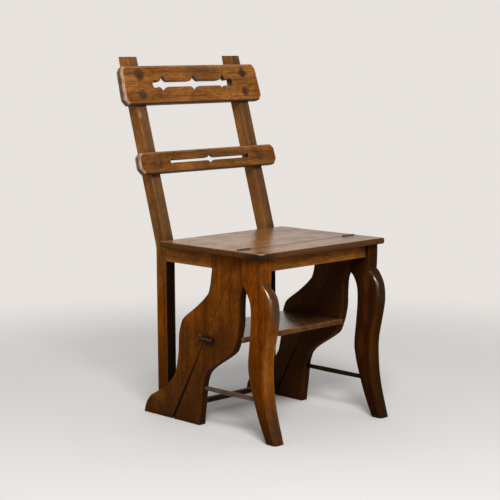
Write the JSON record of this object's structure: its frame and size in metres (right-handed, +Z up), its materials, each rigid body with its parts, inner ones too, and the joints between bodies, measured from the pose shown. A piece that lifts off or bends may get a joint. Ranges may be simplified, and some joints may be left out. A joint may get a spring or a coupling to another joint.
{
  "type": "library step chair",
  "caption": "Oak side chair whose rear half turns forward on hinges at the seat and becomes a short flight of library steps, held shut by a hook and eye.",
  "frame": {"origin": "centre of the footprint box on the floor, midway between the front feet's toes and the rear of the back", "axes": "+Z up, the front of the chair towards -Y, +X to the right seen from the front"},
  "size_m": [0.4526, 0.542, 0.863],
  "materials": {
    "oak_frame": "waxed golden brown oak",
    "oak_seat": "polished worn oak",
    "oak_back": "waxed golden brown oak",
    "oak_dark": "dark stained oak",
    "iron": "dark worn iron"
  },
  "bodies": {
    "front_frame": {"front_leg_left": "oak_frame", "front_leg_right": "oak_frame", "front_rail": "oak_frame", "hinge_leaf_front_left": "iron", "hinge_leaf_front_right": "iron", "hinge_pin_left": "iron", "hinge_pin_right": "iron", "hinge_screw_front_left_inner": "iron", "hinge_screw_front_left_outer": "iron", "hinge_screw_front_right_inner": "iron", "hinge_screw_front_right_outer": "iron", "latch_eye_front": "iron", "panel_front_left": "oak_frame", "panel_front_right": "oak_frame", "seat_board_front": "oak_seat", "stretcher_left": "oak_dark", "stretcher_right": "oak_dark", "tread_front": "oak_seat"},
    "rear_frame": {"back_rail": "oak_back", "back_rail_plug_left": "oak_dark", "back_rail_plug_right": "oak_dark", "crest_plug_lower_left": "oak_dark", "crest_plug_lower_right": "oak_dark", "crest_plug_upper_left": "oak_dark", "crest_plug_upper_right": "oak_dark", "crest_rail": "oak_back", "hinge_leaf_rear_left": "iron", "hinge_leaf_rear_right": "iron", "hinge_screw_rear_left_inner": "iron", "hinge_screw_rear_left_outer": "iron", "hinge_screw_rear_right_inner": "iron", "hinge_screw_rear_right_outer": "iron", "latch_eye_rear": "iron", "low_rail": "oak_dark", "panel_rear_left": "oak_frame", "panel_rear_right": "oak_frame", "rear_post_left": "oak_frame", "rear_post_right": "oak_frame", "rear_rail": "oak_frame", "seat_board_rear": "oak_seat", "side_rail_left": "oak_frame", "side_rail_right": "oak_frame", "tread_rear": "oak_seat"},
    "latch_hook": {"latch_hook": "iron"}
  },
  "joints": [
    {"name": "rear_fold", "type": "hinge", "parent": "front_frame", "child": "rear_frame", "pos_m": [0, -0.15302, 0.4315], "axis": [1, 0, 0], "range_deg": [0, 180]},
    {"name": "hook_lift", "type": "hinge", "parent": "rear_frame", "child": "latch_hook", "pos_m": [-0.1945, -0.02323, 0.217], "axis": [-1, 0, 0], "range_deg": [0, 110]}
  ]
}
